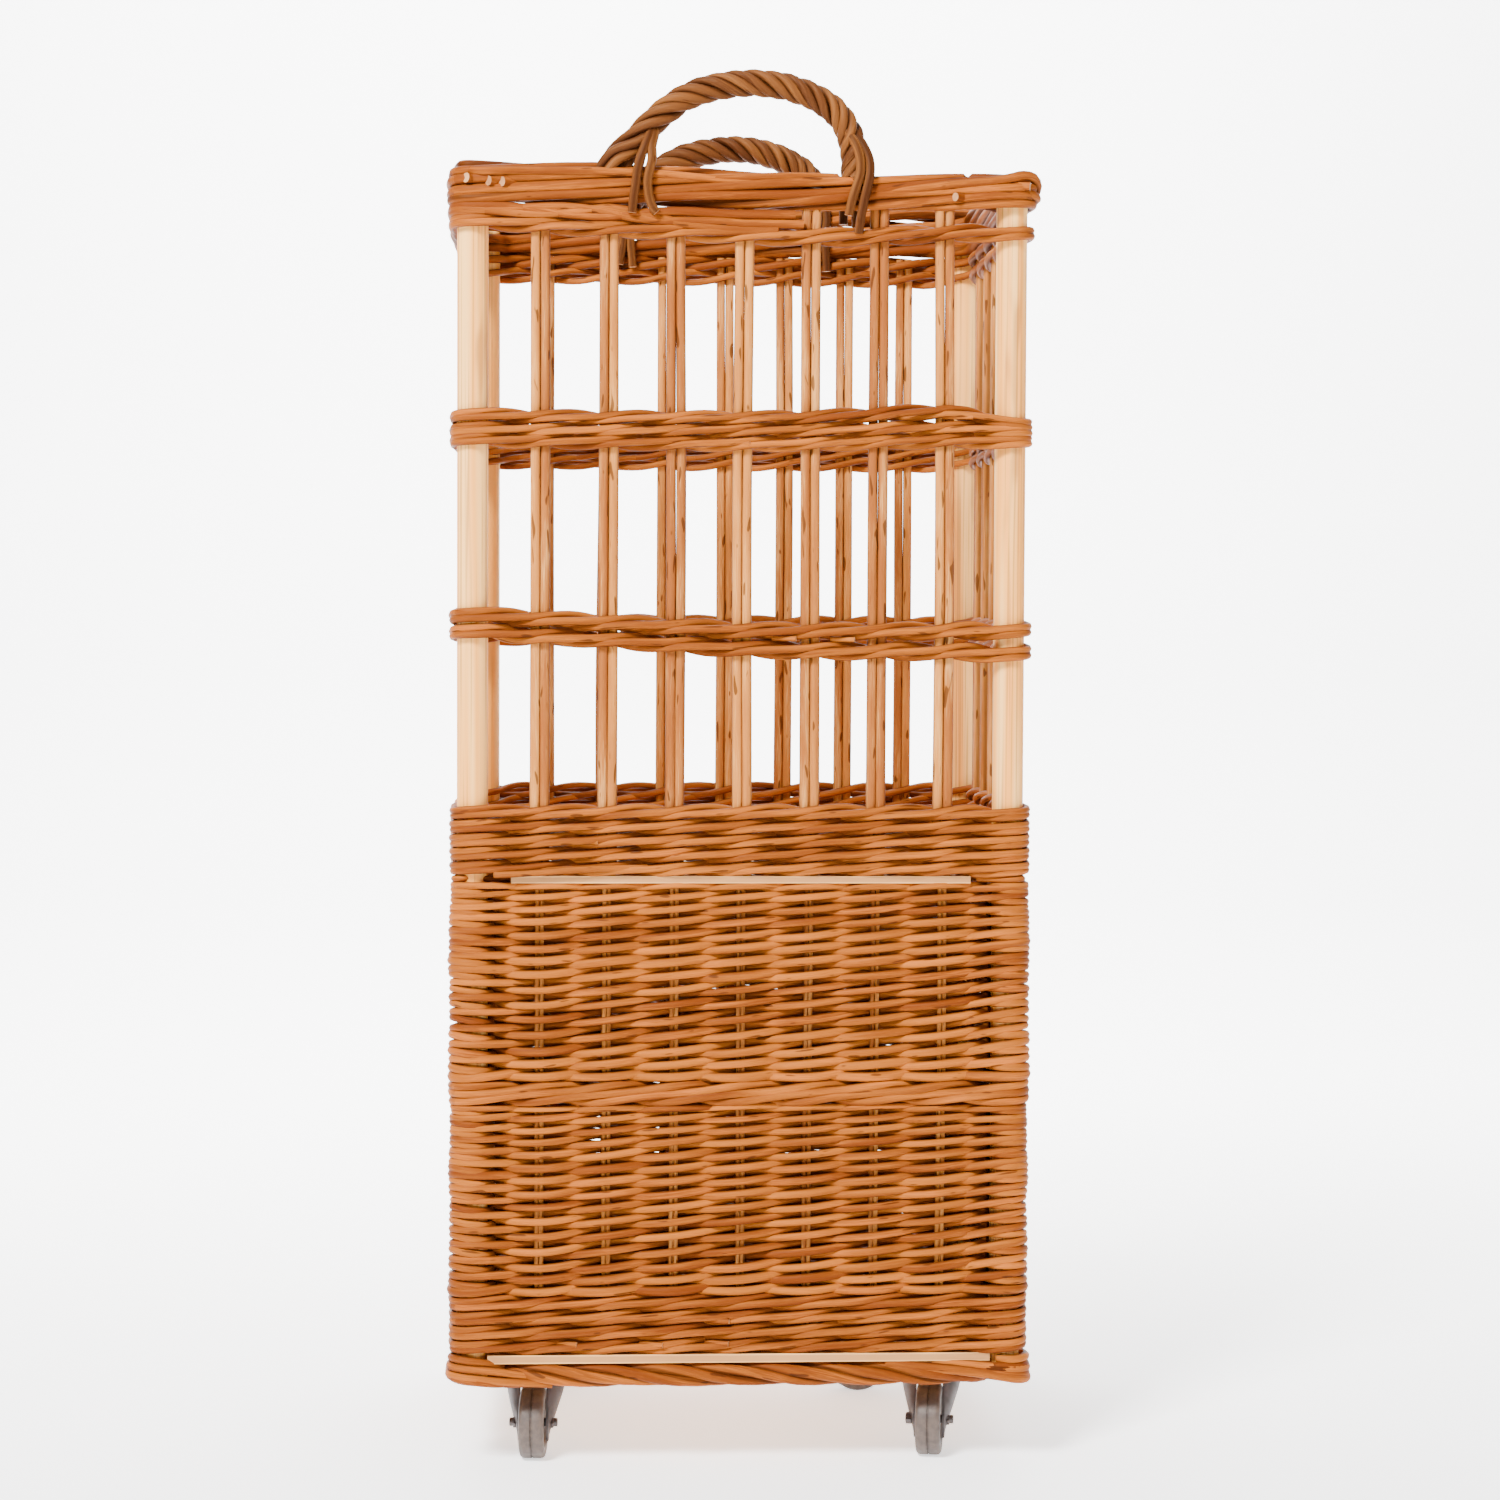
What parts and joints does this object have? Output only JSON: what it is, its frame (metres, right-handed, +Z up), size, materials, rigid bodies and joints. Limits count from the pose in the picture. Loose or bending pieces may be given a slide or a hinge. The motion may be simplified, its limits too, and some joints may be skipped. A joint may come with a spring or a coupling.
{
  "type": "baguette basket on casters",
  "caption": "Tall rectangular willow bread basket with an open stake lattice over a woven base, twisted hoop handles and swivel casters.",
  "frame": {"origin": "on the floor, under the middle of the basket", "axes": "+Z up, the front with the nearer handle faces -Y, +X to the right seen from the front"},
  "size_m": [0.4054, 0.326, 0.9677],
  "materials": {
    "woven_willow": "buff willow weavers, satin",
    "stake_willow": "peeled willow rods, satin",
    "handle_willow": "twisted willow rods, satin",
    "pine_post": "turned pine, matt",
    "plywood": "raw plywood, matt",
    "caster_steel": "zinc grey, satin",
    "caster_wheel": "grey tread, matt"
  },
  "bodies": {
    "basket": {"front_left_post": "pine_post", "front_right_post": "pine_post", "rear_left_post": "pine_post", "rear_right_post": "pine_post", "base_board": "plywood", "waist_board": "plywood", "foot_border": "woven_willow", "bottom_wale": "woven_willow", "wall_weave": "woven_willow", "waist_band": "woven_willow", "middle_band": "woven_willow", "upper_band": "woven_willow", "rim_wale": "woven_willow", "top_border": "woven_willow", "front_stakes_1": "stake_willow", "front_stakes_2": "stake_willow", "front_stakes_3": "stake_willow", "front_stakes_4": "stake_willow", "front_stakes_5": "stake_willow", "front_stakes_6": "stake_willow", "front_stakes_7": "stake_willow", "rear_stakes_1": "stake_willow", "rear_stakes_2": "stake_willow", "rear_stakes_3": "stake_willow", "rear_stakes_4": "stake_willow", "rear_stakes_5": "stake_willow", "rear_stakes_6": "stake_willow", "rear_stakes_7": "stake_willow", "left_stakes_1": "stake_willow", "left_stakes_2": "stake_willow", "left_stakes_3": "stake_willow", "left_stakes_4": "stake_willow", "left_stakes_5": "stake_willow", "right_stakes_1": "stake_willow", "right_stakes_2": "stake_willow", "right_stakes_3": "stake_willow", "right_stakes_4": "stake_willow", "right_stakes_5": "stake_willow", "front_handle": "handle_willow", "rear_handle": "handle_willow", "front_left_caster_plate": "caster_steel", "front_right_caster_plate": "caster_steel", "rear_left_caster_plate": "caster_steel", "rear_right_caster_plate": "caster_steel"},
    "front_left_fork": {"front_left_caster_fork": "caster_steel", "front_left_caster_axle": "caster_steel"},
    "front_left_wheel": {"front_left_caster_wheel": "caster_wheel"},
    "front_right_fork": {"front_right_caster_fork": "caster_steel", "front_right_caster_axle": "caster_steel"},
    "front_right_wheel": {"front_right_caster_wheel": "caster_wheel"},
    "rear_left_fork": {"rear_left_caster_fork": "caster_steel", "rear_left_caster_axle": "caster_steel"},
    "rear_left_wheel": {"rear_left_caster_wheel": "caster_wheel"},
    "rear_right_fork": {"rear_right_caster_fork": "caster_steel", "rear_right_caster_axle": "caster_steel"},
    "rear_right_wheel": {"rear_right_caster_wheel": "caster_wheel"}
  },
  "joints": [
    {"name": "front_left_swivel", "type": "hinge", "parent": "basket", "child": "front_left_fork", "pos_m": [-0.1415, -0.0895, 0.0672], "axis": [0, 0, 1], "continuous": true},
    {"name": "front_left_spin", "type": "hinge", "parent": "front_left_fork", "child": "front_left_wheel", "pos_m": [-0.14354, -0.11542, 0.02452], "axis": [0.9969, -0.0785, 0], "continuous": true},
    {"name": "front_right_swivel", "type": "hinge", "parent": "basket", "child": "front_right_fork", "pos_m": [0.1415, -0.0895, 0.0672], "axis": [0, 0, 1], "continuous": true},
    {"name": "front_right_spin", "type": "hinge", "parent": "front_right_fork", "child": "front_right_wheel", "pos_m": [0.13698, -0.1151, 0.02452], "axis": [0.9848, -0.1736, 0], "continuous": true},
    {"name": "rear_left_swivel", "type": "hinge", "parent": "basket", "child": "rear_left_fork", "pos_m": [-0.126, 0.085, 0.0672], "axis": [0, 0, 1], "continuous": true},
    {"name": "rear_left_spin", "type": "hinge", "parent": "rear_left_fork", "child": "rear_left_wheel", "pos_m": [-0.12419, 0.11094, 0.02452], "axis": [-0.9976, 0.0698, 0], "continuous": true},
    {"name": "rear_right_swivel", "type": "hinge", "parent": "basket", "child": "rear_right_fork", "pos_m": [0.126, 0.085, 0.0672], "axis": [0, 0, 1], "continuous": true},
    {"name": "rear_right_spin", "type": "hinge", "parent": "rear_right_fork", "child": "rear_right_wheel", "pos_m": [0.10157, 0.07611, 0.02452], "axis": [0.342, -0.9397, 0], "continuous": true}
  ]
}
